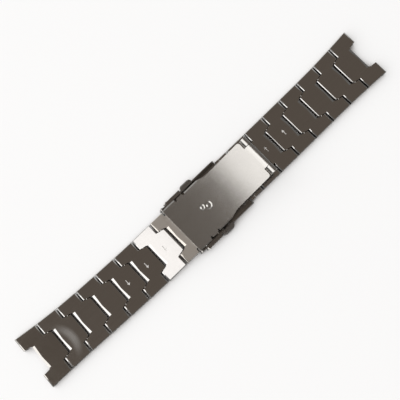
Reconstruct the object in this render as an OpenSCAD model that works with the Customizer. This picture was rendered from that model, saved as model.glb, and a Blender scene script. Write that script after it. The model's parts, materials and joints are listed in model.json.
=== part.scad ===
/* [Links] */
// Width of a plain link across the strand
link_w = 20.4; // [19:0.1:21]
// Thickness of every link
link_t = 3; // [2.8:0.1:3.4]
// Distance from one link pin to the next
pitch = 9.45; // [9:0.05:11]
// Width across the tips of the two end links, at the watch case
end_w = 22.4; // [21.4:0.1:24]
// Width where an end link meets its neighbour
flare_w1 = 21.3; // [20.9:0.1:21.8]
// Width where that neighbour meets the third link
flare_w2 = 20.6; // [20.4:0.1:21]
// Length of an end link from its shoulder to its tip
end_len = 9.35; // [8:0.05:11]
// How far the pins lie below the inner face
pin_depth = 1; // [0.9:0.05:1.2]
// How far an ear reaches past its pin
ear_reach = 1.5; // [1.3:0.05:1.6]
// How far the shoulder stands from the pin
shoulder = 1.9; // [1.85:0.05:1.95]
// Sideways turn that each joint of strand a takes up as it lies, in degrees
play_a = 0.62; // [0:0.02:0.7]
// Sideways turn that each joint of strand b takes up as it lies, in degrees
play_b = 0.16; // [0:0.02:0.7]
// Running gap between the sides of a tongue and its slot
side_gap = 0.2; // [0.15:0.05:0.3]
// Small bevel along the edges of the inner face
bevel = 0.22; // [0.1:0.02:0.35]
// Larger bevel along the edges of the outer face
outer_bevel = 0.5; // [0.3:0.05:0.8]
// Radius that rounds the ends of the inner face
face_round = 0.6; // [0.3:0.05:0.8]

/* [Tongue] */
// Width of a tongue at the shoulder
tongue_root_w = 11.7; // [10.5:0.1:12.5]
// Width of a tongue at its tip
tongue_tip_w = 10.1; // [9.5:0.1:11]
// How far the tongue reaches past its pin
tongue_reach = 1.4; // [1.3:0.05:1.5]
// Distance from the pin to the floor of the slot that takes the tongue
slot_floor = 2; // [2:0.05:2.4]
// Length of the shallow bevel on the slot's floor rim, at its middle
rim_len = 0.55; // [0.4:0.05:0.8]
// How much longer that bevel is at its two ends
rim_bow = 0.35; // [0.1:0.05:0.4]
// Depth of that bevel
rim_drop = 0.2; // [0.1:0.05:0.3]

/* [Case notch] */
// Width of the notch in an end link, at its floor
notch_w = 10.8; // [10:0.1:12]
// Extra width of the notch at its mouth
notch_flare = 0.8; // [0.2:0.1:1.2]
// Depth of the notch
notch_d = 3.4; // [3:0.1:3.8]
// Radius of the holes for the bar that holds the watch case
case_bore_r = 0.8; // [0.6:0.05:0.9]
// Distance from the tip of the end link to that hole
case_bore_in = 1.6; // [1.4:0.05:1.9]

/* [Pins] */
// Radius of the link pins
pin_r = 0.5; // [0.4:0.05:0.55]
// Radial clearance where a link turns on its pin
run_gap = 0.08; // [0.07:0.01:0.1]
// Radial clearance of a pin in the piece that holds it
hold_gap = 0.01; // [0.005:0.005:0.02]
// How far the pin ends lie inside the side faces
pin_inset = 0.25; // [0.1:0.05:0.5]
// Width of the slit in a split pin
slit_w = 0.14; // [0.1:0.02:0.2]

/* [Clasp cover] */
// Length of the cover
cover_len = 27.4; // [26:0.2:32]
// Thickness of the cover's floor
floor_t = 0.8; // [0.6:0.05:0.9]
// Thickness of the cover's side walls
wall_t = 0.6; // [0.5:0.05:0.9]
// Height of the side walls
wall_h = 4.2; // [4:0.1:4.4]
// Gap between the links and each side wall
wall_gap = 0.4; // [0.3:0.05:0.6]
// How far the adjustment strips stand out of the walls
strip_t = 0.8; // [0.5:0.1:1]
// Distance between two adjustment holes
adjust_step = 3.3; // [2.8:0.1:3.6]
// Distance from the cover's end to the first adjustment hole
adjust_first = 3.3; // [3:0.1:3.8]
// Radius of the adjustment holes
adjust_r = 0.55; // [0.55:0.05:0.65]

/* [Folding blades] */
// Radius of the curve that both blades are rolled to
curve_r = 150; // [120:10:300]
// Distance from the cover's end to the lowest point of that curve
curve_x = 4.4; // [3:0.2:8]
// Thickness of both blades
blade_t = 0.8; // [0.6:0.05:0.9]
// Gap between the two blades
blade_gap = 0.2; // [0.1:0.05:0.3]
// Height of the inner blade's face at its lowest point
face_z = 5.55; // [5.5:0.05:5.8]
// Width of the inner blade at its hinge
hinge_w = 20.8; // [20:0.1:20.9]
// Width of the inner blade between its two pairs of notches
plate_w = 20; // [19.8:0.1:20.4]
// Width of the inner blade beside the push buttons
button_w = 19.6; // [19:0.1:19.8]
// Width of the inner blade towards the knuckle
plate_w2 = 17.4; // [17:0.1:18]
// Width of the sloped rim along the inner blade's widest parts
rim_w = 0.5; // [0.3:0.05:0.8]
// How far that rim falls
rim_step = 0.22; // [0.1:0.02:0.3]
// Width of the middle blade
blade_w = 17.2; // [15.6:0.2:17.2]
// Distance between the blades' pivots
plate_len = 40; // [39:0.2:41]
// Outer radius of the knuckle that joins the blades
knuckle_r = 1.45; // [1.3:0.05:1.5]
// How far the knuckle stands above the inner blade's face
knuckle_proud = 0.3; // [0.15:0.05:0.4]
// Width of the inner blade's own knuckle
knuckle_w = 10.6; // [9:0.2:11]
// Gap between neighbouring knuckles
knuckle_gap = 0.2; // [0.05:0.05:0.3]

/* [Catch] */
// Distance from the cover's end to the catch post
post_x = 13.8; // [13.4:0.2:14.8]
// Radius of the catch post's lower head
post_r = 1.15; // [1:0.05:1.2]
// Radius of the dimple round the catch post
dimple_r = 1.65; // [1.5:0.05:1.8]
// Depth of that dimple
dimple_d = 0.22; // [0.15:0.01:0.3]
// Radius of the dimple round the pip beside the catch post
pip_dimple_r = 1.2; // [1.1:0.05:1.3]
// Length of a push button along the bracelet
button_len = 5.7; // [5:0.1:6.4]
// How far the buttons stand out of the side walls
button_out = 1.5; // [1.2:0.1:1.8]
// Travel of a push button
button_travel = 0.8; // [0.6:0.1:1]
// Outer radius of the button springs
spring_r = 0.7; // [0.6:0.05:0.75]
// Wire radius of the button springs
wire_r = 0.14; // [0.12:0.02:0.16]

/* [Spring bar] */
// Radius of the spring bar's tube
bar_r = 1; // [0.95:0.05:1.05]
// Length of the spring bar's tube
bar_len = 16.2; // [15:0.2:16.4]
// Radius of the spring bar's tips
tip_r = 0.5; // [0.4:0.05:0.5]
// How far the tips stand out of the adjustment strips
tip_proud = 0.4; // [0.1:0.05:0.6]

/* [Hidden] */
$fn = 48;
eps = 0.01;
big = 60;
N_LINKS = 7;
S_STEPS = 12;

steel = "dimgray";
bright = "silver";

// Heights of the pins, and of the strand that enters the cover
pin_z = link_t - pin_depth;
lift = floor_t + 0.35;
// Slope of link a7, which leads from the cover down to the table
drop_angle = asin(lift / pitch);

// Places along the bracelet, measured from the cover's hinge end
bar_x = adjust_first;
cover_link_len = 8.35;
// How much narrower the cover link's tail is than its body
tail_in = 3.2;
a_pivot = bar_x - cover_link_len;
a_run = pitch * cos(drop_angle);
b_pivot = cover_len + 4.6;
end_reach = shoulder + end_len;
// How far the middle of an arrow lies past the shoulder
arrow_in = 1.9;

// Clasp heights and places
bar_z = lift + link_t / 2;
curve_z = face_z + curve_r;
half_in = link_w / 2 + wall_gap;
half_out = half_in + wall_t;
hinge_x = 0.3;
hinge_pin_r = 0.3;
boss_r = 0.55;
boss_w = 1.3;
hinge_z = curve_z - sqrt(pow(curve_r + boss_r + 0.05, 2) - pow(curve_x - hinge_x, 2));
lug_r = 0.7;
plate_start = hinge_x - 0.35;
knuckle_x = hinge_x + plate_len;
knuckle_z = face_at(knuckle_x) - knuckle_r + knuckle_proud;
// Gap that shows the middle blade's fingers beside the inner blade's end
finger_gap = 0.9;
plate_end = knuckle_x - knuckle_r - finger_gap;
plate_step_x = post_x + 3.3;
plate_step_len = 4.6;
// Notches in the inner blade's edges: the first at the spare adjustment hole, the next at the buttons
notch_x1 = adjust_first + adjust_step - 0.3;
notch_depth1 = 1.35;
notch_before1 = 0.4;
notch_after1 = 1.15;
notch_x2 = post_x - 3.5;
notch_depth2 = 1;
notch_before2 = 0.85;
notch_after2 = 0.5;
notch_half = 0.12;
pip_x = post_x - 2.15;
pip_y = 1;
pip_r = 0.75;
rivet_r = 0.75;
rivet_h = 0.28;
blade_r = curve_r + blade_t + blade_gap;
blade_end_x = cover_len - 4.2;
blade_end_z = floor_t + 0.95;
blade_end_r = 0.8;
blade_pin_r = 0.4;
// Thickness of the blade link's tail
tail_t = 1.5;
arm_z = floor_t + 0.35;
arm_t = 0.6;
arm_w = 1.1;
arm_in = 1.3;
button_shift = -0.4;
button_z = 0.95;
button_top = 3.55;
spring_shift = 0.9;
spring_z = 2.5;
spring_seat = half_in - 4.1;
guide_reach = 3.2;
guide_t = 0.4;
guide_foot = 0.5;
seat_w = 1.8;
spring_turns = 5;

// Height of the inner blade's face at a place along the clasp
function face_at(x) = curve_z - sqrt(pow(curve_r, 2) - pow(x - curve_x, 2));

// Width of strand link k at its inner (0) and outer (1) end, where link 1 is the end link
function link_width(k, outer) =
    k == 1 ? (outer ? end_w : flare_w1)
    : k == 2 ? (outer ? flare_w1 : flare_w2)
    : k == 3 ? (outer ? flare_w2 : link_w)
    : link_w;

// How far link k of a strand is turned in the plane of the table
function yaw(strand, k) = strand == "a" ? (N_LINKS + 1 - k) * play_a : (N_LINKS - k) * play_b;

// Place of the pin on which link k of a strand turns
function pivot(strand, k) =
    k == N_LINKS ? (strand == "a" ? [a_pivot, 0, pin_z + lift] : [b_pivot, 0, pin_z])
    : let (p = pivot(strand, k + 1), turn = yaw(strand, k + 1),
        run = strand == "a" && k + 1 == N_LINKS ? a_run : pitch)
        [p[0] + (strand == "a" ? -1 : 1) * run * cos(turn), p[1] + run * sin(turn), pin_z];

// Middle of the laid-out bracelet, which is the origin
low_corner_x = end_w / 2 * sin(yaw("a", 1));
tip_a = pivot("a", 1)[0] - end_reach * cos(yaw("a", 1)) - low_corner_x;
tip_b = pivot("b", 1)[0] + end_reach * cos(yaw("b", 1)) + end_w / 2 * sin(yaw("b", 1));
mid_x = (tip_a + tip_b) / 2;
button_side = half_out + button_out;
tip_side = pivot("a", 1)[1] + end_reach * sin(yaw("a", 1)) + end_w / 2 * cos(yaw("a", 1));
mid_y = (max(tip_side, button_side) - button_side) / 2;

// Puts a link drawn with its pin at the origin, and its free end along +X, into strand a or b
module on_strand(strand, k) {
    a_side = strand == "a";
    translate(pivot(strand, k) - [mid_x, mid_y, 0])
        rotate([0, 0, (a_side ? -1 : 1) * yaw(strand, k)])
            rotate([0, a_side && k == N_LINKS ? -drop_angle : 0, 0])
                rotate([0, 0, a_side ? 180 : 0])
                    translate([0, 0, -pin_z]) children();
}

module in_clasp() {
    translate([-mid_x, -mid_y, 0]) children();
}

// A bar along Y, centred on Y = 0
module y_rod(r, len) {
    rotate([90, 0, 0]) cylinder(r = r, h = len, center = true);
}

// Extrudes an X-Z outline along Y
module side_extrude(len) {
    rotate([90, 0, 0]) linear_extrude(len, center = true) children();
}

// A rectangle with its own radius at each corner: low left, low right, high right, high left
module side_box(x0, x1, z0, z1, r) {
    difference() {
        translate([x0, z0]) square([x1 - x0, z1 - z0]);
        side_corner(x0, z0, 1, 1, r[0]);
        side_corner(x1, z0, -1, 1, r[1]);
        side_corner(x1, z1, -1, -1, r[2]);
        side_corner(x0, z1, 1, -1, r[3]);
    }
}

// What a corner radius takes away
module side_corner(x, z, sx, sz, r) {
    if (r > 0)
        translate([x, z]) scale([sx, sz]) difference() {
            translate([-1, -1]) square(r + 1);
            translate([r, r]) circle(r);
        }
}

// Plan of a link from its shoulder to its ears
module link_plan(k, from, to) {
    w0 = link_width(k, false) / 2;
    w1 = link_width(k, true) / 2;
    polygon([[from, -w0], [to, -w1], [to, w1], [from, w0]]);
}

// Plan of a tongue, with its taper, wider by a gap all round for the slot
module tongue_plan(root, reach, gap) {
    r = 0.6;
    slope = (tongue_root_w - tongue_tip_w) / 2 / (shoulder + tongue_reach);
    tip = tongue_tip_w / 2 + gap;
    wide = tip + slope * (root + tongue_reach);
    difference() {
        polygon([[-reach, -tip], [root, -wide], [root, wide], [-reach, tip]]);
        for (s = [-1, 1]) translate([-reach, s * tip]) scale([1, s]) difference() {
            translate([-1, -r]) square([r + 1, r + 1]);
            translate([r, -r]) circle(r);
        }
    }
}

// Takes the long edges of a link's inner and outer faces off
module edge_bevels(k, from, to) {
    w0 = link_width(k, false) / 2;
    w1 = link_width(k, true) / 2;
    turn = atan((w1 - w0) / (to - from));
    for (s = [-1, 1]) translate([from, s * w0, 0]) rotate([0, 0, s * turn]) {
        translate([0, 0, link_t]) rotate([45, 0, 0])
            cube([big, bevel * sqrt(2), bevel * sqrt(2)], center = true);
        rotate([45, 0, 0])
            cube([big, outer_bevel * sqrt(2), outer_bevel * sqrt(2)], center = true);
    }
}

// Shallow bevel that falls towards +X along the rim at x, over a width, and is longest at its ends
module floor_rim(x, w) {
    fall = rim_drop / rim_len;
    turn = atan(2 * rim_bow / w);
    for (s = [-1, 1]) translate([x - rim_len, 0, link_t]) rotate([0, 0, s * turn]) side_extrude(w)
        polygon([[0, 0], [rim_len + 1, -rim_drop - fall], [rim_len + 1, 1], [0, 1]]);
}

// The slot that takes the next link's tongue
module tongue_slot() {
    translate([pitch, 0, -eps]) linear_extrude(link_t + 2 * eps)
        tongue_plan(shoulder + 2, slot_floor, side_gap);
    floor_rim(pitch - slot_floor, tongue_tip_w - 0.4);
}

// The notch that takes the watch case's lug
module case_notch() {
    tip = shoulder + end_len;
    floor_x = tip - notch_d;
    r = 0.5;
    mouth = (notch_w + notch_flare) / 2;
    translate([0, 0, -eps]) linear_extrude(link_t + 2 * eps) difference() {
        polygon([[floor_x, -notch_w / 2], [tip + 1, -mouth], [tip + 1, mouth], [floor_x, notch_w / 2]]);
        for (s = [-1, 1]) translate([floor_x, s * notch_w / 2]) scale([1, s]) difference() {
            translate([-1, -r]) square([r + 1, r + 1]);
            translate([r, -r]) circle(r);
        }
    }
    floor_rim(floor_x, notch_w - 1);
}

// Small arrow that shows which way a split pin is pushed out
module arrow(turned) {
    translate([shoulder + arrow_in, 0, link_t - 0.12])
        scale([1, turned ? -1 : 1, 1]) linear_extrude(1) {
            translate([-0.16, -0.6]) square([0.32, 1.7]);
            polygon([[-0.75, -0.4], [0.5, -0.4], [0, -1.4]]);
        }
}

// Tongue with its rounded tip, drawn about its pin
module tongue(root) {
    intersection() {
        linear_extrude(link_t) tongue_plan(root, tongue_reach, 0);
        side_extrude(link_w) side_box(-tongue_reach, root + 1, 0, link_t, [1.1, 0, 0, face_round]);
    }
}

// Link k of a strand: 1 is the end link, 2 to 7 are plain
module strand_link(k, arrows) {
    end = k == 1;
    tip = end ? shoulder + end_len : pitch + ear_reach;
    difference() {
        union() {
            intersection() {
                linear_extrude(link_t) link_plan(k, shoulder, tip);
                side_extrude(big)
                    side_box(shoulder, tip, 0, link_t, [0.5, 0.6, face_round, face_round - 0.1]);
            }
            tongue(shoulder + 1);
        }
        edge_bevels(k, shoulder, tip);
        if (end) {
            case_notch();
            translate([tip - case_bore_in, 0, link_t / 2]) y_rod(case_bore_r, big);
        } else {
            tongue_slot();
            translate([pitch, 0, pin_z]) y_rod(pin_r + hold_gap, big);
        }
        translate([0, 0, pin_z]) y_rod(pin_r + run_gap, tongue_root_w + 1);
        if (arrows != 0) arrow(arrows < 0);
    }
}

// Pin that joins link k to its outer neighbour; split pins have a slit
module link_pin(k, split) {
    len = link_width(k, true) - 2 * pin_inset;
    translate([pitch, 0, pin_z]) difference() {
        y_rod(pin_r, len);
        if (split) translate([-1, -len / 2 - 1, -slit_w / 2]) cube([2, len * 0.55, slit_w]);
    }
}

// Link that turns on the spring bar and enters the cover
module cover_link() {
    tail_w = link_w - tail_in;
    body_end = -a_pivot - 0.5;
    color(steel) in_clasp() translate([a_pivot, 0, lift]) difference() {
        union() {
            intersection() {
                translate([-ear_reach, -link_w / 2, 0]) cube([body_end + ear_reach, link_w, link_t]);
                side_extrude(big)
                    side_box(-ear_reach, body_end, 0, link_t, [0.6, 0.4, 0.3, face_round]);
            }
            translate([2, -tail_w / 2, 0]) cube([cover_link_len - 2, tail_w, link_t]);
            translate([cover_link_len, 0, link_t / 2]) y_rod(link_t / 2, tail_w);
        }
        for (s = [-1, 1]) translate([0, s * link_w / 2, 0]) {
            translate([0, 0, link_t]) rotate([45, 0, 0])
                cube([big, bevel * sqrt(2), bevel * sqrt(2)], center = true);
            rotate([45, 0, 0])
                cube([big, outer_bevel * sqrt(2), outer_bevel * sqrt(2)], center = true);
        }
        rotate([0, 0, 180]) translate([-pitch, 0, 0]) tongue_slot();
        translate([0, 0, pin_z]) y_rod(pin_r + hold_gap, big);
        translate([cover_link_len, 0, link_t / 2]) y_rod(bar_r + run_gap, big);
    }
}

// Pin between link a7 and the cover link
module pin_a7() {
    color(bright) in_clasp() translate([a_pivot, 0, lift + pin_z]) difference() {
        y_rod(pin_r, link_w - 2 * pin_inset);
        translate([-1, -link_w / 2, -slit_w / 2]) cube([2, link_w * 0.55, slit_w]);
    }
}

// Last link of strand b, thinned where it lies in the cover and under the middle blade
module blade_link() {
    tail_x = cover_len + 0.3;
    step_x = b_pivot - 2.2 - 0.4;
    tail_w = tongue_tip_w;
    thin_z = blade_end_z + tail_t / 2;
    color(steel) in_clasp() difference() {
        union() {
            intersection() {
                translate([tail_x, -link_w / 2, 0]) cube([b_pivot + ear_reach - tail_x, link_w, link_t]);
                side_extrude(big)
                    side_box(tail_x, b_pivot + ear_reach, 0, link_t, [0.4, 0.6, face_round, 0]);
            }
            translate([blade_end_x, -tail_w / 2, blade_end_z - tail_t / 2])
                cube([tail_x + 1 - blade_end_x, tail_w, tail_t]);
            translate([blade_end_x + 1.6, -link_w / 2 + 1, blade_end_z - tail_t / 2])
                cube([tail_x + 1 - blade_end_x - 1.6, link_w - 2, tail_t]);
            translate([blade_end_x, 0, blade_end_z]) y_rod(tail_t / 2, tail_w);
        }
        translate([tail_x - 5, -big / 2, thin_z]) cube([step_x - tail_x + 5, big, link_t]);
        for (s = [-1, 1]) translate([b_pivot, s * link_w / 2, 0]) {
            translate([0, 0, link_t]) rotate([45, 0, 0])
                cube([2 * (b_pivot - tail_x), bevel * sqrt(2), bevel * sqrt(2)], center = true);
            rotate([45, 0, 0])
                cube([2 * (b_pivot - tail_x) + 2, outer_bevel * sqrt(2), outer_bevel * sqrt(2)],
                    center = true);
        }
        translate([b_pivot - pitch, 0, 0]) tongue_slot();
        translate([b_pivot, 0, pin_z]) y_rod(pin_r + hold_gap, big);
        translate([blade_end_x, 0, blade_end_z]) y_rod(blade_pin_r + run_gap, big);
    }
}

// Pin between the blade link and link b7
module pin_b7() {
    color(bright) in_clasp() translate([b_pivot, 0, pin_z])
        y_rod(pin_r, link_w - 2 * pin_inset);
}

// Outline of the cover's side wall, seen from the side
module wall_side() {
    side_box(0, cover_len, 0, wall_h, [0.5, 0.5, 1.6, 0.4]);
    translate([hinge_x, hinge_z]) circle(lug_r);
    translate([hinge_x - lug_r, floor_t + 0.2]) square([2 * lug_r, hinge_z - floor_t - 0.2]);
}

// Cover: floor and two side walls with adjustment strips and windows for the buttons
module clasp_cover() {
    color(bright) in_clasp() difference() {
        union() {
            side_extrude(2 * half_out) side_box(0, cover_len, 0, floor_t, [0.4, 0.4, 0, 0]);
            for (s = [-1, 1]) {
                translate([0, s * (half_in + wall_t / 2), 0]) side_extrude(wall_t) wall_side();
                translate([0, s * (half_out + strip_t / 2 - eps / 2), 0])
                    side_extrude(strip_t + eps)
                        side_box(bar_x - 1.1, post_x - button_len / 2 + button_shift - 0.35,
                            1.2, wall_h - 0.4, [0.9, 0.3, 0.3, 0.9]);
            }
        }
        for (s = [-1, 1]) {
            translate([0, s * half_out, 0]) rotate([45, 0, 0])
                cube([2 * big, 0.5 * sqrt(2), 0.5 * sqrt(2)], center = true);
            translate([post_x + button_shift - button_len / 2 - 0.15, s * half_in - (s < 0 ? 2 : 0.1),
                button_z - 0.1]) cube([button_len + 0.3, 2.1, wall_h]);
        }
        for (k = [0:1]) translate([adjust_first + k * adjust_step, 0, bar_z]) y_rod(adjust_r, big);
        translate([hinge_x, 0, hinge_z]) y_rod(hinge_pin_r + hold_gap, big);
    }
}

// Two rivets that hinge the inner blade to the cover
module hinge_rivets() {
    in_w = hinge_w / 2 - boss_w + 0.1;
    color(bright) in_clasp() for (s = [-1, 1]) translate([hinge_x, s * in_w, hinge_z])
        rotate([-90 * s, 0, 0]) {
            cylinder(r = hinge_pin_r, h = half_out - in_w + 0.1);
            translate([0, 0, half_out - in_w]) cylinder(r1 = 0.55, r2 = 0.4, h = 0.2);
        }
}

// A strip rolled to the clasp's curve, between two radii and two places
module rolled(r0, r1, w) {
    translate([curve_x, 0, curve_z]) difference() {
        y_rod_fine(r1, w);
        y_rod_fine(r0, w + 1);
    }
}

module y_rod_fine(r, len) {
    rotate([90, 0, 0]) cylinder(r = r, h = len, center = true, $fn = 360);
}

// Half the inner blade's width at step i of the curve where it narrows
function plate_edge(i) = button_w / 2 - (button_w - plate_w2) / 2 * sin(90 * i / S_STEPS);

// Plan of the inner blade
module plate_plan() {
    slim = plate_w2 / 2;
    low_edge = concat([[plate_start, -hinge_w / 2], [notch_x1, -hinge_w / 2], [notch_x1, -plate_w / 2],
        [notch_x2, -plate_w / 2], [notch_x2, -button_w / 2]],
        [for (i = [0:S_STEPS]) [plate_step_x + plate_step_len * i / S_STEPS, -plate_edge(i)]],
        [[plate_end, -slim]]);
    high_edge = [for (i = [len(low_edge) - 1:-1:0]) [low_edge[i][0], -low_edge[i][1]]];
    difference() {
        union() {
            polygon(concat(low_edge, high_edge));
            translate([plate_step_x, -knuckle_w / 2]) square([knuckle_x - plate_step_x, knuckle_w]);
        }
        // Round corners at the knuckle end
        for (s = [-1, 1]) translate([plate_end, s * slim]) scale([-1, s]) difference() {
            translate([-1, -1]) square([2, 2]);
            translate([1, -1]) circle(1);
        }
        for (s = [-1, 1]) {
            edge_notch(notch_x1, s, hinge_w / 2, notch_depth1, notch_before1, notch_after1);
            edge_notch(notch_x2, s, plate_w / 2, notch_depth2, notch_before2, notch_after2);
        }
    }
}

// Notch with two slanting sides in an edge of the inner blade, which lies at y there
module edge_notch(x, side, y, depth, before, after) {
    scale([1, side]) polygon([[x - notch_half, y - depth], [x + notch_half, y - depth], [x + after, y],
        [x + after, y + 1], [x - before, y + 1], [x - before, y]]);
}

// What slopes the rim of a rolled face between two places, on one side, where its edge lies at y
module sloped_rim(x0, x1, side, y) {
    intersection() {
        translate([curve_x, side * (y - 2 * rim_w), curve_z]) rotate([-90 * side, 0, 0])
            cylinder(r1 = curve_r - rim_step, r2 = curve_r + 2 * rim_step, h = 3 * rim_w, $fn = 360);
        translate([x0, side > 0 ? y - 2 * rim_w : -y - rim_w, 0]) cube([x1 - x0, 3 * rim_w, big]);
    }
}

// Sloped dimple, sunk from the face at z
module dimple(x, y, z, r, d) {
    translate([x, y, z - d]) cylinder(r1 = r - 2.2 * d, r2 = r, h = d);
    translate([x, y, z - eps]) cylinder(r = r, h = 1);
}

// Flat-based dome that stands on z
module dome(x, y, z, r, h) {
    ball_r = (r * r + h * h) / (2 * h);
    translate([x, y, z + h - ball_r]) intersection() {
        sphere(ball_r);
        translate([-big / 2, -big / 2, ball_r - h]) cube(big);
    }
}

// Ramp that leads the inner blade's face up to its knuckle
module knuckle_ramp() {
    x0 = plate_end + 0.4;
    x1 = knuckle_x - 0.6;
    translate([0, 0, knuckle_z]) side_extrude(knuckle_w)
        polygon([[x0, face_at(x0) - 0.35 - knuckle_z], [x0, face_at(x0) - 0.05 - knuckle_z],
            [x1, sqrt(pow(knuckle_r, 2) - pow(x1 - knuckle_x, 2)) - 0.04], [x1, 0]]);
}

// Inner blade, which lies on the wrist
module inner_blade() {
    post_face = face_at(post_x);
    pip_face = face_at(pip_x);
    color(bright) in_clasp() {
        difference() {
            union() {
                intersection() {
                    rolled(curve_r, curve_r + blade_t, hinge_w + 2);
                    linear_extrude(big) plate_plan();
                }
                translate([knuckle_x, 0, knuckle_z]) y_rod(knuckle_r, knuckle_w);
                knuckle_ramp();
                for (s = [-1, 1]) translate([hinge_x, s * (hinge_w - boss_w) / 2, hinge_z])
                    y_rod(boss_r, boss_w);
            }
            translate([knuckle_x, 0, knuckle_z]) y_rod(pin_r + run_gap, big);
            for (s = [-1, 1]) translate([hinge_x, s * (hinge_w - boss_w) / 2, hinge_z])
                y_rod(hinge_pin_r + run_gap, boss_w + 0.2);
            for (s = [-1, 1]) {
                sloped_rim(plate_start - 1, notch_x1, s, hinge_w / 2);
                sloped_rim(notch_x2, plate_step_x, s, button_w / 2);
            }
            dimple(post_x, 0, post_face, dimple_r, dimple_d);
            translate([post_x, 0, 0]) cylinder(r = 0.6 + hold_gap, h = 20);
            dimple(pip_x, pip_y, pip_face, pip_dimple_r, dimple_d);
        }
        // Pip beside the catch post
        dome(pip_x, pip_y, pip_face - dimple_d - 0.02, pip_r, dimple_d + 0.04);
    }
}

// Mushroom-headed post, riveted in the inner blade, that the push buttons hold
module catch_post() {
    low = arm_z - 0.15;
    seat = face_at(post_x) - dimple_d;
    under = face_at(post_x) - blade_t - 0.06;
    color(bright) in_clasp() {
        translate([post_x, 0, 0]) {
            translate([0, 0, low]) cylinder(r1 = post_r - 0.3, r2 = post_r, h = 0.3);
            translate([0, 0, low + 0.3]) cylinder(r = post_r, h = 0.25);
            translate([0, 0, low + 0.5]) cylinder(r = 0.8, h = under - low - 0.5);
            translate([0, 0, under - 0.1]) cylinder(r = 0.6, h = seat - under + 0.15);
        }
        dome(post_x, 0, seat + 0.01, rivet_r, rivet_h);
    }
}

// Sheet that leads the middle blade, from x on, in under the knuckle fingers
module finger_lead(x) {
    z = face_at(x) - blade_t - blade_gap;
    side_extrude(blade_w)
        polygon([[x, z - 0.12], [knuckle_x - 1.2, knuckle_z - 0.72], [knuckle_x - 0.45, knuckle_z - 1.3],
            [x, z - blade_t + 0.2]]);
}

// Middle blade, folded under the inner one
module middle_blade() {
    slot_w = tongue_root_w;
    leg_top = face_at(blade_end_x) - blade_t - blade_gap - 0.25;
    lead_x = plate_end - 0.3;
    color(bright) in_clasp() difference() {
        union() {
            intersection() {
                rolled(blade_r, blade_r + blade_t, blade_w + 2);
                translate([blade_end_x - 0.7, -blade_w / 2, 0])
                    cube([lead_x - blade_end_x + 0.7, blade_w, big]);
            }
            finger_lead(lead_x - 0.4);
            translate([knuckle_x, 0, knuckle_z]) y_rod(knuckle_r, blade_w);
            for (s = [-1, 1]) translate([blade_end_x, s * (blade_w + slot_w) / 4, 0]) {
                translate([0, 0, blade_end_z]) y_rod(blade_end_r, (blade_w - slot_w) / 2);
                translate([-0.7, -(blade_w - slot_w) / 4, blade_end_z])
                    cube([1.4, (blade_w - slot_w) / 2, leg_top - blade_end_z]);
            }
        }
        translate([knuckle_x - knuckle_r - 0.25, -knuckle_w / 2 - knuckle_gap, 0])
            cube([10, knuckle_w + 2 * knuckle_gap, big]);
        translate([blade_end_x - 3, -slot_w / 2, 0]) cube([4.6, slot_w, big]);
        translate([knuckle_x, 0, knuckle_z]) y_rod(pin_r + hold_gap, big);
        translate([blade_end_x, 0, blade_end_z]) y_rod(blade_pin_r + hold_gap, big);
    }
}

module knuckle_pin() {
    color(bright) in_clasp() translate([knuckle_x, 0, knuckle_z]) y_rod(pin_r, blade_w - 0.2);
}

module blade_link_pin() {
    color(bright) in_clasp() translate([blade_end_x, 0, blade_end_z])
        y_rod(blade_pin_r, blade_w - 0.2);
}

// Push button with its latch arm; side is 1 for +Y and -1 for -Y
module push_button(side) {
    far = half_out + button_out;
    near = half_in + 0.1;
    hook = post_r + 0.1;
    color(steel) in_clasp() translate([post_x, 0, 0]) rotate([0, 0, side > 0 ? 0 : 180]) {
        // Cap, rounded at both corners
        translate([side * button_shift - button_len / 2, 0, 0]) intersection() {
            translate([0, near, button_z]) linear_extrude(button_top - button_z) difference() {
                square([button_len, far - near]);
                side_corner(0, far - near, 1, -1, 1.5);
                side_corner(button_len, far - near, -1, -1, 1.5);
            }
            rotate([90, 0, 90]) linear_extrude(button_len)
                side_box(near, far, button_z, button_top, [0, 0.5, 0.5, 0]);
        }
        // Arm and hook
        translate([-arm_in - arm_w, -hook - 1.15, arm_z]) cube([arm_w, near + hook + 1.4, arm_t]);
        translate([-arm_in - arm_w, -hook - 1.15, arm_z]) cube([arm_in + arm_w + 0.8, 1.15, arm_t]);
    }
}

// Helix point of a button spring
function spring_point(t, h) =
    [(spring_r - wire_r) * cos(360 * spring_turns * t),
     (spring_r - wire_r) * sin(360 * spring_turns * t), wire_r + (h - 2 * wire_r) * t];

// Coil spring of height h, as one swept wire of six sides
module coil(h) {
    steps = spring_turns * 12;
    sides = 6;
    points = [for (i = [0:steps]) let (c = spring_point(i / steps, h),
        a = 360 * spring_turns * i / steps)
        for (j = [0:sides - 1]) let (b = 360 * j / sides)
            c + wire_r * [cos(b) * cos(a), cos(b) * sin(a), sin(b)]];
    sides_faces = [for (i = [0:steps - 1], j = [0:sides - 1])
        let (a = i * sides + j, b = i * sides + (j + 1) % sides)
        each [[a, a + sides, b], [b, a + sides, b + sides]]];
    caps = concat([for (j = [1:sides - 2]) [0, j, j + 1]],
        [for (j = [1:sides - 2]) [steps * sides, steps * sides + j + 1, steps * sides + j]]);
    polyhedron(points, concat(sides_faces, caps));
}

// Spring between a push button and the latch guide
module button_spring(side) {
    color(bright) in_clasp() translate([post_x, 0, 0]) rotate([0, 0, side > 0 ? 0 : 180])
        translate([spring_shift, spring_seat + 0.05, spring_z]) rotate([-90, 0, 0])
            coil(half_in - spring_seat);
}

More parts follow.
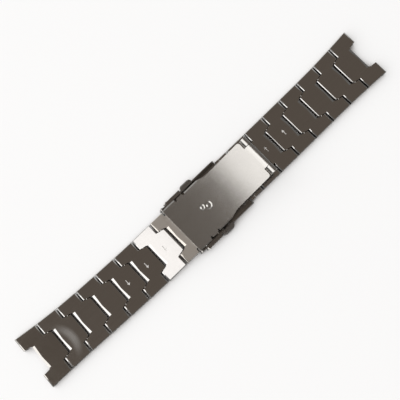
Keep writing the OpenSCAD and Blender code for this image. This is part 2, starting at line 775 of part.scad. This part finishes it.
// Bridge that keeps the latch arms down and seats both button springs
module latch_guide() {
    top = arm_z + arm_t + 0.15;
    color(steel) in_clasp() translate([post_x, 0, 0]) difference() {
        union() {
            translate([-guide_reach, -spring_seat, top]) cube([2 * guide_reach, 2 * spring_seat, guide_t]);
            for (s = [-1, 1]) {
                translate([s > 0 ? guide_reach - guide_foot : -guide_reach, -spring_seat, floor_t])
                    cube([guide_foot, 2 * spring_seat, top + guide_t - floor_t]);
                translate([s * spring_shift - seat_w / 2,
                    s > 0 ? spring_seat - guide_foot : -spring_seat, top])
                    cube([seat_w, guide_foot, spring_z + spring_r - top]);
            }
        }
        cylinder(r = post_r + 0.95, h = big);
    }
}

module spring_bar_tube() {
    color(bright) in_clasp() translate([bar_x, 0, bar_z]) difference() {
        y_rod(bar_r, bar_len);
        y_rod(bar_r - 0.3, bar_len - 1.2);
        y_rod(tip_r + run_gap, bar_len + 1);
    }
}

// Two sprung tips that reach through the cover's walls
module spring_bar_tips() {
    inner = 5.5;
    outer = half_out + strip_t + tip_proud - 0.15;
    color(bright) in_clasp() for (s = [-1, 1]) translate([bar_x, 0, bar_z]) rotate([-90 * s, 0, 0]) {
        translate([0, 0, inner]) cylinder(r = bar_r - 0.35, h = 1.5);
        translate([0, 0, inner]) cylinder(r = tip_r, h = outer - inner);
        translate([0, 0, outer]) cylinder(r1 = tip_r, r2 = tip_r * 0.6, h = 0.15);
    }
}

module spring_bar_spring() {
    color(steel) in_clasp() translate([bar_x, 0, bar_z]) difference() {
        y_rod(bar_r - 0.36, 10.8);
        y_rod(bar_r - 0.6, 11);
    }
}

module end_link(strand) {
    color(steel) on_strand(strand, 1) strand_link(1, 0);
}

// Which links carry an arrow, and which way it points
function arrow_of(strand, k) =
    strand == "a" ? (k >= 5 ? -1 : 0) : (k == 5 || k == 6 ? -1 : 0);

module plain_link(strand, k) {
    color(steel) on_strand(strand, k) strand_link(k, arrow_of(strand, k));
}

module pin_between(strand, k) {
    color(bright) on_strand(strand, k + 1) link_pin(k + 1, k >= 4);
}

for (s = ["a", "b"]) {
    end_link(s);
    for (k = [2:N_LINKS]) plain_link(s, k);
    for (k = [1:N_LINKS - 1]) pin_between(s, k);
}
pin_a7();
pin_b7();
cover_link();
blade_link();
clasp_cover();
hinge_rivets();
inner_blade();
catch_post();
middle_blade();
knuckle_pin();
blade_link_pin();
push_button(1);  // push_button_left
push_button(-1);  // push_button_right
button_spring(1);  // button_spring_left
button_spring(-1);  // button_spring_right
latch_guide();
spring_bar_tube();
spring_bar_tips();
spring_bar_spring();
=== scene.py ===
import json
import math

import bmesh
import bpy
from mathutils import Matrix, Vector


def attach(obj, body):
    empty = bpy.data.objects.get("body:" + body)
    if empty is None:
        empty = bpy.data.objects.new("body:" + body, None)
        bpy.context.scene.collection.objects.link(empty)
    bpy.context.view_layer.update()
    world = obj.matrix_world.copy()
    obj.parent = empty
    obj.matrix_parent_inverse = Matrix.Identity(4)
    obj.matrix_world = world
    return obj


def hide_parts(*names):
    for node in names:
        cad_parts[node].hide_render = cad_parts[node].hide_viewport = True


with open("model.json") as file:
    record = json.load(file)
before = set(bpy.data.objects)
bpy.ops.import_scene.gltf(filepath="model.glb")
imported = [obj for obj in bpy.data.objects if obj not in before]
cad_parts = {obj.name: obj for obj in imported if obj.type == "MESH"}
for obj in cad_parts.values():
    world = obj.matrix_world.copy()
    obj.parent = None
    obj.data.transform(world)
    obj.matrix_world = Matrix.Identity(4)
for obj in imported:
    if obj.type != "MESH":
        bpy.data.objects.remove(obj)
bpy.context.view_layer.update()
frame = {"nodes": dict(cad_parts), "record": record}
nodes = frame["nodes"]
bodyOf = {node: body for body, names in frame["record"]["behaviour"]["bodies"].items() for node in names}
slotOf = {part["node"]: part["material_slot"] for part in frame["record"]["subparts"]}
print("frame loaded with", len(nodes), "nodes")

mm = 0.001

# camera, at the photo's angle

cameraSettings = {
    "target": (0.66 * mm, 3.356 * mm, 0.0),
    "azimuth": 53.617,  # 0 looks along +Y
    "elevation": 79.889,
    "roll": 9.182,
    "distance": 462.6 * mm,
    "lens": 110.0,
}


def addCamera(settings):
    azimuth = math.radians(settings["azimuth"])
    elevation = math.radians(settings["elevation"])
    roll = math.radians(settings["roll"])
    look = Vector((math.sin(azimuth) * math.cos(elevation), math.cos(azimuth) * math.cos(elevation),
                   -math.sin(elevation)))
    level = Vector((math.cos(azimuth), -math.sin(azimuth), 0.0))
    upright = level.cross(look)
    right = level * math.cos(roll) + upright * math.sin(roll)
    up = upright * math.cos(roll) - level * math.sin(roll)
    data = bpy.data.cameras.new("photoCamera")
    data.lens = settings["lens"]
    data.sensor_width = 36.0
    data.clip_start = 0.01
    camera = bpy.data.objects.new("photoCamera", data)
    bpy.context.collection.objects.link(camera)
    spin = Matrix((right, up, -look)).transposed().to_4x4()
    camera.matrix_world = Matrix.Translation(Vector(settings["target"]) - look * settings["distance"]) @ spin
    bpy.context.scene.camera = camera


addCamera(cameraSettings)
print("camera placed")

# node groups that the steels share


def newGroup(name, inputs, outputs):
    group = bpy.data.node_groups.new(name, "ShaderNodeTree")
    for socketName, kind, value in inputs:
        socket = group.interface.new_socket(name=socketName, in_out="INPUT", socket_type=kind)
        socket.default_value = value
    for socketName, kind in outputs:
        group.interface.new_socket(name=socketName, in_out="OUTPUT", socket_type=kind)
    return group, group.nodes.new("NodeGroupInput"), group.nodes.new("NodeGroupOutput")


def plug(tree, socket, value):
    if isinstance(value, bpy.types.NodeSocket):
        tree.links.new(value, socket)
    else:
        socket.default_value = value


def addMath(tree, operation, first, second, clamp=False):
    node = tree.nodes.new("ShaderNodeMath")
    node.operation = operation
    node.use_clamp = clamp
    plug(tree, node.inputs[0], first)
    plug(tree, node.inputs[1], second)
    return node.outputs[0]


def addNoise(tree, vector, scale, detail, roughness=0.5):
    node = tree.nodes.new("ShaderNodeTexNoise")
    node.inputs["Scale"].default_value = scale
    node.inputs["Detail"].default_value = detail
    node.inputs["Roughness"].default_value = roughness
    tree.links.new(vector, node.inputs["Vector"])
    return node.outputs["Fac"]


def addMix(tree, factor, first, second):
    node = tree.nodes.new("ShaderNodeMix")
    node.data_type = "RGBA"
    plug(tree, node.inputs["Factor"], factor)
    plug(tree, node.inputs[6], first)
    plug(tree, node.inputs[7], second)
    return node.outputs[2]


def addFade(tree, value, start, end):
    fade = tree.nodes.new("ShaderNodeMapRange")
    fade.interpolation_type = "SMOOTHSTEP"
    fade.inputs["From Min"].default_value = start
    fade.inputs["From Max"].default_value = end
    tree.links.new(value, fade.inputs["Value"])
    return fade.outputs["Result"]


broadShare = 0.6  # share of the broad brush lines in the shade


# brush lines: long along one axis, a few hundredths of a millimetre across the others
def buildBrushLines():
    group, into, out = newGroup(
        "brushLines",
        [("Stretch", "NodeSocketVector", (1.0, 1.0, 1.0))],
        [("Height", "NodeSocketFloat"), ("Shade", "NodeSocketFloat")])
    coordinates = group.nodes.new("ShaderNodeTexCoord")
    stretch = group.nodes.new("ShaderNodeVectorMath")
    stretch.operation = "MULTIPLY"
    group.links.new(coordinates.outputs["Object"], stretch.inputs[0])
    group.links.new(into.outputs["Stretch"], stretch.inputs[1])
    fine = addNoise(group, stretch.outputs[0], 1.0, 3.0, 0.6)
    broad = addNoise(group, stretch.outputs[0], 0.2, 2.0)
    shade = addMath(group, "ADD", addMath(group, "MULTIPLY", fine, 1.0 - broadShare),
                    addMath(group, "MULTIPLY", broad, broadShare))
    group.links.new(fine, out.inputs["Height"])
    group.links.new(shade, out.inputs["Shade"])
    return group


handlingSettings = {
    "cloudScale": 160.0,
    "scratchTurn": (0.0, 0.0, 0.6),
    "scratchScale": (90.0, 2600.0, 2600.0),
    "scratchFrom": 0.71,  # noise above this makes a scratch
    "scratchGain": 14.0,
}


# handling marks: soft clouds, and a few thin scratches that cross the brush lines
def buildHandling(settings):
    group, into, out = newGroup(
        "handlingMarks",
        [("Amount", "NodeSocketFloat", 1.0)],
        [("Smudge", "NodeSocketFloat"), ("Scratch", "NodeSocketFloat")])
    coordinates = group.nodes.new("ShaderNodeTexCoord")
    smudge = addNoise(group, coordinates.outputs["Object"], settings["cloudScale"], 4.0, 0.6)
    turned = group.nodes.new("ShaderNodeMapping")
    turned.inputs["Rotation"].default_value = settings["scratchTurn"]
    turned.inputs["Scale"].default_value = settings["scratchScale"]
    group.links.new(coordinates.outputs["Object"], turned.inputs["Vector"])
    lines = addNoise(group, turned.outputs[0], 1.0, 1.0)
    past = addMath(group, "SUBTRACT", lines, settings["scratchFrom"])
    thin = addMath(group, "MULTIPLY", past, settings["scratchGain"], clamp=True)
    group.links.new(addMath(group, "MULTIPLY", smudge, into.outputs["Amount"]), out.inputs["Smudge"])
    group.links.new(addMath(group, "MULTIPLY", thin, into.outputs["Amount"]), out.inputs["Scratch"])
    return group


brushLines = buildBrushLines()
handlingMarks = buildHandling(handlingSettings)


def addGroup(tree, group, **values):
    node = tree.nodes.new("ShaderNodeGroup")
    node.node_tree = group
    for name, value in values.items():
        node.inputs[name].default_value = value
    return node


# one dictionary for each finish: dark and light are the brushed tones, edge and flank those of the bevels
# and the side faces, across is the anisotropy, and stretch the scale of the brush lines along each axis.
# The lighter edge tone is partly polish and partly a painted highlight on the bevels; the dark flank tone
# of the link, cover and button steels is painted shade on their side faces
finishes = {
    "link_steel": {
        "dark": (0.41, 0.40, 0.385), "light": (0.47, 0.46, 0.445), "edge": (0.62, 0.61, 0.60),
        "flank": (0.15, 0.14, 0.13), "metal": 1.0, "rough": 0.15, "spread": 0.05, "edgeRough": 0.2,
        "across": 0.8, "bump": 0.1, "stretch": (150.0, 9000.0, 9000.0), "marks": 0.5,
    },
    "blade_steel": {
        "dark": (0.355, 0.345, 0.33), "light": (0.40, 0.39, 0.37), "edge": (0.62, 0.61, 0.59),
        "flank": (0.4, 0.39, 0.37), "metal": 0.9, "rough": 0.22, "spread": 0.04, "edgeRough": 0.2,
        "across": 0.2, "bump": 0.1, "stretch": (260.0, 7000.0, 7000.0), "marks": 0.6,
    },
    "cover_steel": {
        "dark": (0.26, 0.25, 0.235), "light": (0.33, 0.315, 0.30), "edge": (0.64, 0.63, 0.61),
        "flank": (0.13, 0.12, 0.11), "metal": 1.0, "rough": 0.24, "spread": 0.06, "edgeRough": 0.2,
        "across": 0.5, "bump": 0.14, "stretch": (150.0, 9000.0, 9000.0), "marks": 0.8,
    },
    "button_steel": {
        "dark": (0.18, 0.175, 0.165), "light": (0.25, 0.24, 0.23), "edge": (0.5, 0.49, 0.47),
        "flank": (0.08, 0.075, 0.07), "metal": 1.0, "rough": 0.3, "spread": 0.08, "edgeRough": 0.26,
        "across": 0.0, "bump": 0.12, "stretch": (900.0, 2400.0, 2400.0), "marks": 0.6,
    },
    "guide_steel": {
        "dark": (0.30, 0.29, 0.275), "light": (0.37, 0.36, 0.34), "edge": (0.5, 0.49, 0.47),
        "flank": (0.3, 0.29, 0.28), "metal": 1.0, "rough": 0.36, "spread": 0.08, "edgeRough": 0.3,
        "across": 0.0, "bump": 0.1, "stretch": (2400.0, 900.0, 2400.0), "marks": 0.4,
    },
    "spring_steel": {
        "dark": (0.40, 0.39, 0.38), "light": (0.48, 0.47, 0.46), "edge": (0.5, 0.5, 0.5),
        "flank": (0.4, 0.39, 0.38), "metal": 1.0, "rough": 0.25, "spread": 0.06, "edgeRough": 0.25,
        "across": 0.0, "bump": 0.08, "stretch": (2000.0, 2000.0, 2000.0), "marks": 0.3,
    },
    "polished_pin": {
        "dark": (0.36, 0.35, 0.335), "light": (0.44, 0.43, 0.41), "edge": (0.55, 0.54, 0.52),
        "flank": (0.3, 0.29, 0.28), "metal": 1.0, "rough": 0.3, "spread": 0.05, "edgeRough": 0.3,
        "across": 0.0, "bump": 0.05, "stretch": (3000.0, 300.0, 3000.0), "marks": 0.4,
    },
}

# what one node has in place of its slot's finish: lighter or darker copies that paint light or shade on
# single nodes
litAndShadedCopies = {
    # cover link: the lighter tone is painted light; it is also rougher and less metallic
    "cover_link": {**finishes["link_steel"], "dark": (0.5, 0.47, 0.43), "light": (0.56, 0.525, 0.48),
                   "metal": 0.72, "rough": 0.33, "across": 0.4},
    # link a7: the darker tone is painted shade that tones down the reflection it catches
    "link_a7": {**finishes["link_steel"], "dark": (0.385, 0.375, 0.365), "light": (0.44, 0.43, 0.42)},
    # link a2: a painted highlight, a bowed cloud with less metal that shows lighter
    "link_a2": {**finishes["link_steel"],
                "highlightCloud": {"place": (-69.2 * mm, -0.2 * mm), "half": (2.3 * mm, 8.5 * mm), "bow": 50.0,
                          "strength": 0.36}},
    # end link a: the darker tone is painted shade
    "end_link_a": {**finishes["link_steel"], "dark": (0.35, 0.335, 0.315), "light": (0.405, 0.39, 0.365)},
    # spring bar tips: the lighter tone is a painted highlight
    "spring_bar_tips": {**finishes["polished_pin"], "dark": (0.66, 0.65, 0.63), "light": (0.74, 0.73, 0.71)},
}


# how the arrows, scratches and clouds show on every steel
markSettings = {
    "scratch": 0.35,  # share of the edge colour in a scratch
    "smudge": 0.12,  # change of the roughness over a soft cloud
    "arrowTone": (0.85, 0.84, 0.82, 1.0),
    "arrowDull": 0.8,  # taken from the metal
    "arrowMatt": 0.45,  # added to the roughness
    "brushDepth": 0.01 * mm,
}


def addAttribute(tree, name):
    attribute = tree.nodes.new("ShaderNodeAttribute")
    attribute.attribute_name = name
    return attribute.outputs["Fac"]


# a soft bowed painted highlight across one link, as a mask; less metal under it makes that part show lighter
def addHighlightCloud(tree, highlightCloud):
    coordinates = tree.nodes.new("ShaderNodeTexCoord")
    split = tree.nodes.new("ShaderNodeSeparateXYZ")
    tree.links.new(coordinates.outputs["Object"], split.inputs[0])
    sideways = addMath(tree, "SUBTRACT", split.outputs["Y"], highlightCloud["place"][1])
    bow = addMath(tree, "MULTIPLY", addMath(tree, "MULTIPLY", sideways, sideways), highlightCloud["bow"])
    along = addMath(tree, "ADD", addMath(tree, "SUBTRACT", split.outputs["X"], highlightCloud["place"][0]), bow)
    masks = []
    for value, half in zip((along, sideways), highlightCloud["half"]):
        far = addMath(tree, "DIVIDE", addMath(tree, "ABSOLUTE", value, 0.0), half)
        masks.append(addFade(tree, far, 1.0, 0.1))
    mask = addMath(tree, "MULTIPLY", *masks)
    return addMath(tree, "MULTIPLY", mask, highlightCloud["strength"])


def makeSteel(name, finish, settings):
    material = bpy.data.materials.new(name)
    material.use_nodes = True
    tree = material.node_tree
    shader = tree.nodes["Principled BSDF"]
    lines = addGroup(tree, brushLines, Stretch=finish["stretch"])
    marks = addGroup(tree, handlingMarks, Amount=finish["marks"])
    edge, arrow, flank = (addAttribute(tree, layer) for layer in ("edge", "mark", "flank"))
    tone = addMix(tree, lines.outputs["Shade"], (*finish["dark"], 1.0), (*finish["light"], 1.0))
    scratch = addMath(tree, "MULTIPLY", marks.outputs["Scratch"], settings["scratch"])
    tone = addMix(tree, scratch, tone, (*finish["edge"], 1.0))
    # bevels take the lighter edge tone: partly polish, partly painted highlight
    tone = addMix(tree, edge, tone, (*finish["edge"], 1.0))
    tone = addMix(tree, arrow, tone, settings["arrowTone"])
    # side faces take the flank tone: painted shade on the link, cover and button steels
    tone = addMix(tree, flank, tone, (*finish["flank"], 1.0))
    dull = addMath(tree, "MULTIPLY", arrow, settings["arrowDull"])
    metal = addMath(tree, "SUBTRACT", finish["metal"], dull)
    # painted highlight: less metal where the highlight cloud lies
    if "highlightCloud" in finish:
        metal = addMath(tree, "SUBTRACT", metal, addHighlightCloud(tree, finish["highlightCloud"]))
    tree.links.new(metal, shader.inputs["Metallic"])
    tree.links.new(tone, shader.inputs["Base Color"])
    brush = addMath(tree, "SUBTRACT", lines.outputs["Shade"], 0.5)
    satin = addMath(tree, "MULTIPLY", brush, finish["spread"])
    smudge = addMath(tree, "SUBTRACT", marks.outputs["Smudge"], 0.5)
    cloudy = addMath(tree, "MULTIPLY", smudge, settings["smudge"])
    satin = addMath(tree, "ADD", addMath(tree, "ADD", satin, cloudy), finish["rough"])
    polish = addMath(tree, "MULTIPLY", edge, finish["edgeRough"] - finish["rough"])
    etched = addMath(tree, "MULTIPLY", arrow, settings["arrowMatt"])
    satin = addMath(tree, "ADD", addMath(tree, "ADD", satin, polish), etched)
    tree.links.new(satin, shader.inputs["Roughness"])
    shader.inputs["Anisotropic"].default_value = finish["across"]
    across = tree.nodes.new("ShaderNodeTangent")
    across.direction_type = "RADIAL"
    across.axis = "X"
    tree.links.new(across.outputs["Tangent"], shader.inputs["Tangent"])
    bump = tree.nodes.new("ShaderNodeBump")
    bump.inputs["Strength"].default_value = finish["bump"]
    bump.inputs["Distance"].default_value = settings["brushDepth"]
    tree.links.new(lines.outputs["Height"], bump.inputs["Height"])
    tree.links.new(bump.outputs["Normal"], shader.inputs["Normal"])
    return material


steels = {name: makeSteel(name, finish, markSettings) for name, finish in {**finishes, **litAndShadedCopies}.items()}


def steelOf(node):
    return steels[node if node in litAndShadedCopies else slotOf[node]]


print("materials made:", len(steels))

# every CAD solid of a steel listed in edgeSettings gets a copy with softened edges; its bevels take the
# finish's edge tone and roughness, and the lighter edge tone is partly polish, partly a painted highlight

# width and segments of the bevel, the shortest edge that gets one, and the height of a normal below which
# a face counts as a side face
edgeSettings = {
    "link_steel": {"width": 0.12 * mm, "segments": 2, "shortest": 0.4 * mm, "flankBelow": 0.4},
    "blade_steel": {"width": 0.17 * mm, "segments": 2, "shortest": 0.1 * mm, "flankBelow": 0.25},
    "cover_steel": {"width": 0.12 * mm, "segments": 2, "shortest": 0.3 * mm, "flankBelow": 0.4},
    "button_steel": {"width": 0.12 * mm, "segments": 2, "shortest": 0.1 * mm, "flankBelow": 0.4},
    "guide_steel": {"width": 0.06 * mm, "segments": 2, "shortest": 0.3 * mm, "flankBelow": 0.4},
    "polished_pin": {"width": 0.08 * mm, "segments": 2, "shortest": 0.0, "flankBelow": 0.4},
}
meshSettings = {
    "merge": 0.0005 * mm,
    "flatWithin": math.radians(0.3),
    "sharp": math.radians(28.0),  # from this angle an edge gets a bevel
    "shadeSharp": math.radians(35.0),
    "arrowSides": 7,
    "arrowArea": (0.7 * mm ** 2, 1.3 * mm ** 2),  # of an arrow's sunk face
    "broadArea": 20.0 * mm ** 2,  # from this area a link's flat face is shaded on its own
    "broadRim": math.radians(3.0),
    "upward": 0.9,  # height of the normal of a face that looks straight up
}

# axis of the inner blade, and the largest angle between a rolled face and its radial normal
bladeRoll = {"axis": (-8.8197 * mm, 155.55 * mm), "within": math.radians(2.5)}


# gives the rolled faces of the inner blade the normals of their cylinder
def smoothRoll(mesh, roll):
    normals = []
    for face in mesh.polygons:
        middle = Vector((roll["axis"][0] - face.center.x, 0.0, roll["axis"][1] - face.center.z))
        side = 1.0 if middle.dot(face.normal) > 0 else -1.0
        rolled = face.normal.angle(side * middle) < roll["within"]
        for index in face.loop_indices:
            spot = mesh.vertices[mesh.loops[index].vertex_index].co
            radial = Vector((roll["axis"][0] - spot.x, 0.0, roll["axis"][1] - spot.z)).normalized()
            normals.append(side * radial if rolled else face.normal.copy())
    mesh.normals_split_custom_set(normals)


def isArrow(face, settings):
    smallest, largest = settings["arrowArea"]
    return (len(face.verts) == settings["arrowSides"] and face.normal.z > settings["upward"]
            and smallest < face.calc_area() < largest)


def softenEdges(node, settings, common):
    bm = bmesh.new()
    bm.from_mesh(nodes[node].data)
    bmesh.ops.remove_doubles(bm, verts=bm.verts, dist=common["merge"])
    bmesh.ops.dissolve_limit(bm, angle_limit=common["flatWithin"], verts=bm.verts, edges=bm.edges)
    edgeLayer = bm.faces.layers.float.new("edge")
    markLayer = bm.faces.layers.float.new("mark")
    flankLayer = bm.faces.layers.float.new("flank")
    for face in bm.faces:
        if isArrow(face, common):
            face[markLayer] = 1.0
    sharp = [edge for edge in bm.edges
             if len(edge.link_faces) == 2 and edge.calc_face_angle() > common["sharp"]
             and edge.calc_length() > settings["shortest"]
             and not any(face[markLayer] for face in edge.link_faces)]
    made = bmesh.ops.bevel(bm, geom=sharp, offset=settings["width"], offset_type="OFFSET",
                           segments=settings["segments"], profile=0.5, affect="EDGES",
                           clamp_overlap=True, material=-1)
    # bevel faces are marked for the lighter edge tone: partly polish, partly painted highlight
    for face in made["faces"]:
        face[edgeLayer] = 1.0
    for face in bm.faces:
        face.smooth = True
        # side faces are marked for the flank tone, which is painted shade on the darker steels
        if -common["upward"] < face.normal.z < settings["flankBelow"]:
            face[flankLayer] = 1.0
            face[edgeLayer] = 0.0
    bm.normal_update()
    bm.edges.index_update()
    rims = [edge.index for edge in bm.edges if slotOf[node] == "link_steel"
            and edge.calc_face_angle(0.0) > common["broadRim"]
            and max(face.calc_area() for face in edge.link_faces) > common["broadArea"]]
    mesh = bpy.data.meshes.new(node + "Finished")
    bm.to_mesh(mesh)
    bm.free()
    mesh.set_sharp_from_angle(angle=common["shadeSharp"])
    for index in rims:
        mesh.edges[index].use_edge_sharp = True
    piece = bpy.data.objects.new(node + "Finished", mesh)
    bpy.context.collection.objects.link(piece)
    if node == "inner_blade":
        smoothRoll(mesh, bladeRoll)
    else:
        weighted = piece.modifiers.new("flatFaces", "WEIGHTED_NORMAL")
        weighted.keep_sharp = True
    mesh.materials.append(steelOf(node))
    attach(piece, bodyOf[node])
    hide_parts(node)


def paintNode(node):
    mesh = nodes[node].data
    mesh.materials.clear()
    mesh.materials.append(steelOf(node))


for node in nodes:
    if slotOf[node] in edgeSettings:
        softenEdges(node, edgeSettings[slotOf[node]], meshSettings)
    else:
        paintNode(node)
print("edges softened")

# floor, backdrop and lights

studioSettings = {
    "floorSize": 8.0,
    "floorDrop": 0.02 * mm,
    "floorColor": (0.95, 0.95, 0.95, 1.0),
    "floorRough": 0.8,
    "floorWhite": 0.6,  # share of plain white in what the camera and the metal see of the open floor
    "nearby": 6.0 * mm,  # reach of the ambient occlusion that paints shade on the floor near the object
    "openness": (0.35, 0.85),  # occlusion values: no white up to the first, all of it from the second, so the floor near and under the object is painted darker
    "overhead": (0.187, 0.156, 0.131, 1.0),
    "paleHorizon": (0.8, 0.8, 0.8, 1.0),
    "dimHorizon": (0.25, 0.245, 0.24, 1.0),
    "dimSide": (0.8, -0.6, 0.0),  # direction towards which the horizon dims
    "sides": (-0.3, 0.5),  # where along that direction the dimming starts and ends
    "paleBelow": 0.45,  # height of a direction, 0 at the horizon and 1 overhead
    "darkAbove": 0.92,
    "panels": [
        {"name": "sidePanel", "place": (-1.968, 1.4, 2.264), "aim": (0.0, 1.4, 0.0), "size": (5.0, 4.05),
         "watts": 140.0},
    ],
}


def addFloor(settings):
    bm = bmesh.new()
    bmesh.ops.create_grid(bm, x_segments=1, y_segments=1, size=settings["floorSize"] / 2)
    bmesh.ops.translate(bm, vec=(0.0, 0.0, -settings["floorDrop"]), verts=bm.verts)
    mesh = bpy.data.meshes.new("floor")
    bm.to_mesh(mesh)
    bm.free()
    floor = bpy.data.objects.new("floor", mesh)
    bpy.context.collection.objects.link(floor)
    material = bpy.data.materials.new("paleFloor")
    material.use_nodes = True
    tree = material.node_tree
    shader = tree.nodes["Principled BSDF"]
    shader.inputs["Base Color"].default_value = settings["floorColor"]
    shader.inputs["Roughness"].default_value = settings["floorRough"]
    rays = tree.nodes.new("ShaderNodeLightPath")
    seen = addMath(tree, "MAXIMUM", rays.outputs["Is Camera Ray"], rays.outputs["Is Glossy Ray"])
    white = tree.nodes.new("ShaderNodeEmission")
    mix = tree.nodes.new("ShaderNodeMixShader")
    # painted shade: ambient occlusion takes the plain white away near and under the object
    occlusionShade = tree.nodes.new("ShaderNodeAmbientOcclusion")
    occlusionShade.inputs["Distance"].default_value = settings["nearby"]
    unshadedShare = addFade(tree, occlusionShade.outputs["AO"], *settings["openness"])
    share = addMath(tree, "MULTIPLY", unshadedShare, settings["floorWhite"])
    tree.links.new(addMath(tree, "MULTIPLY", seen, share), mix.inputs["Fac"])
    tree.links.new(shader.outputs["BSDF"], mix.inputs[1])
    tree.links.new(white.outputs["Emission"], mix.inputs[2])
    tree.links.new(mix.outputs["Shader"], tree.nodes["Material Output"].inputs["Surface"])
    mesh.materials.append(material)


def addPanel(settings):
    data = bpy.data.lights.new(settings["name"], "AREA")
    data.shape = "RECTANGLE"
    data.size, data.size_y = settings["size"]
    data.energy = settings["watts"]
    lamp = bpy.data.objects.new(settings["name"], data)
    bpy.context.collection.objects.link(lamp)
    place = Vector(settings["place"])
    lamp.location = place
    lamp.rotation_euler = (Vector(settings["aim"]) - place).to_track_quat("-Z", "Y").to_euler()


def addWorld(settings):
    world = bpy.data.worlds.new("studio")
    bpy.context.scene.world = world
    world.use_nodes = True
    tree = world.node_tree
    direction = tree.nodes.new("ShaderNodeTexCoord")
    split = tree.nodes.new("ShaderNodeSeparateXYZ")
    tree.links.new(direction.outputs["Generated"], split.inputs[0])
    toDim = tree.nodes.new("ShaderNodeVectorMath")
    toDim.operation = "DOT_PRODUCT"
    tree.links.new(direction.outputs["Generated"], toDim.inputs[0])
    toDim.inputs[1].default_value = settings["dimSide"]
    aside = addFade(tree, toDim.outputs["Value"], *settings["sides"])
    horizon = addMix(tree, aside, settings["paleHorizon"], settings["dimHorizon"])
    above = addFade(tree, split.outputs["Z"], settings["paleBelow"], settings["darkAbove"])
    tone = addMix(tree, above, horizon, settings["overhead"])
    tree.links.new(tone, tree.nodes["Background"].inputs["Color"])


addFloor(studioSettings)
for panel in studioSettings["panels"]:
    addPanel(panel)
addWorld(studioSettings)
bpy.context.scene.view_settings.view_transform = "Standard"
print("studio set")
